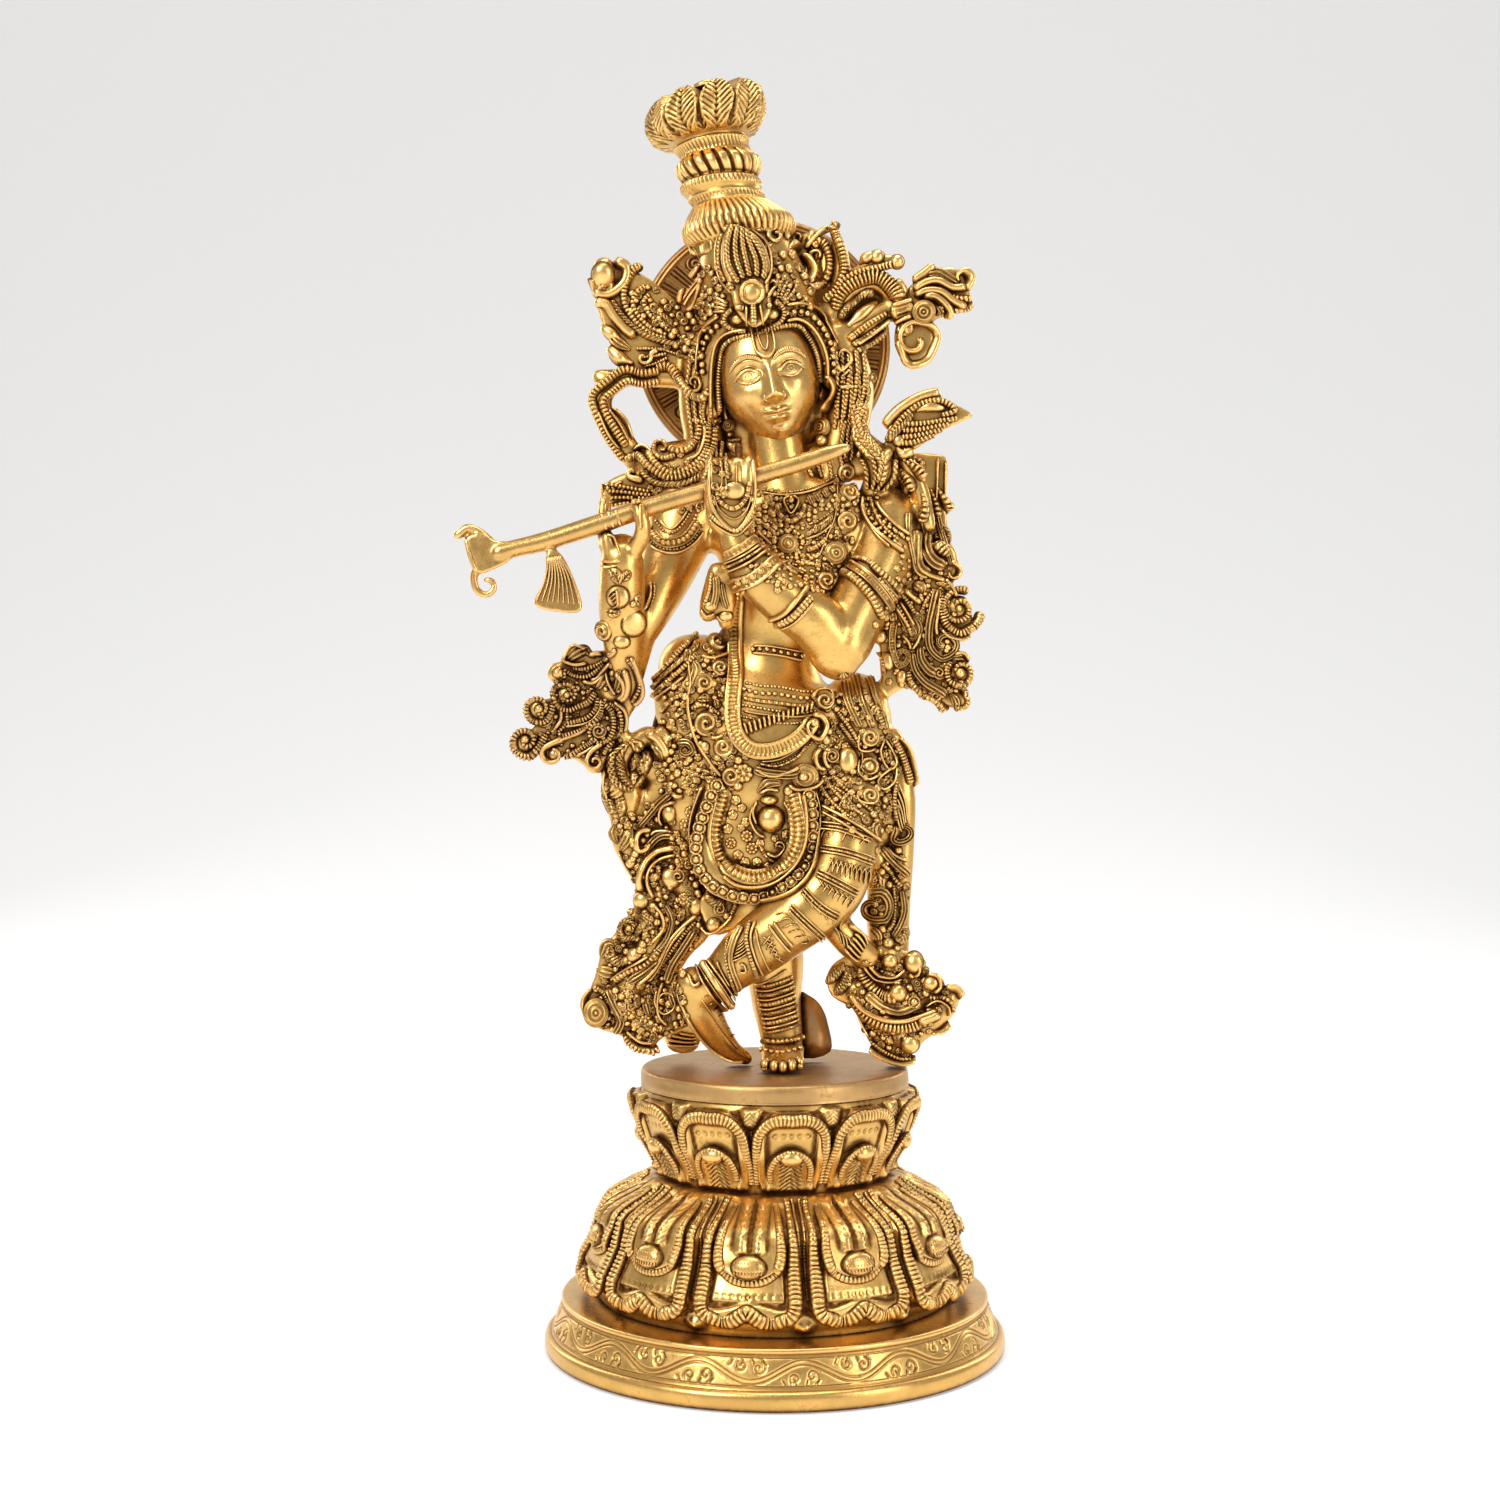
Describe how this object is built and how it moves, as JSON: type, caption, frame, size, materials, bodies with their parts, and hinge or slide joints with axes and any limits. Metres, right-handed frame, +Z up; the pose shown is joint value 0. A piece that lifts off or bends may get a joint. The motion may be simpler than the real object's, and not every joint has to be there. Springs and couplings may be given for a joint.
{
  "type": "krishna statue",
  "caption": "Cast brass statue of Krishna playing the flute with crossed legs, under a tall crown and halo disc, with flowing scarves and garlands, on a double lotus base",
  "frame": {"origin": "centre of the flat round underside of the base, on the ground", "axes": "+Z up, the figure faces -Y, +X to the viewer's right"},
  "size_m": [0.2598, 0.2212, 0.6072],
  "materials": {
    "base_brass": "satin, darkened in the recesses",
    "figure_brass": "satin, darkened in the recesses",
    "polished_brass": "polished",
    "halo_brass": "dull, engraved"
  },
  "bodies": {
    "root": {"lotus_base": "base_brass", "figure": "figure_brass", "flute": "polished_brass", "halo_disc": "halo_brass"}
  },
  "joints": []
}
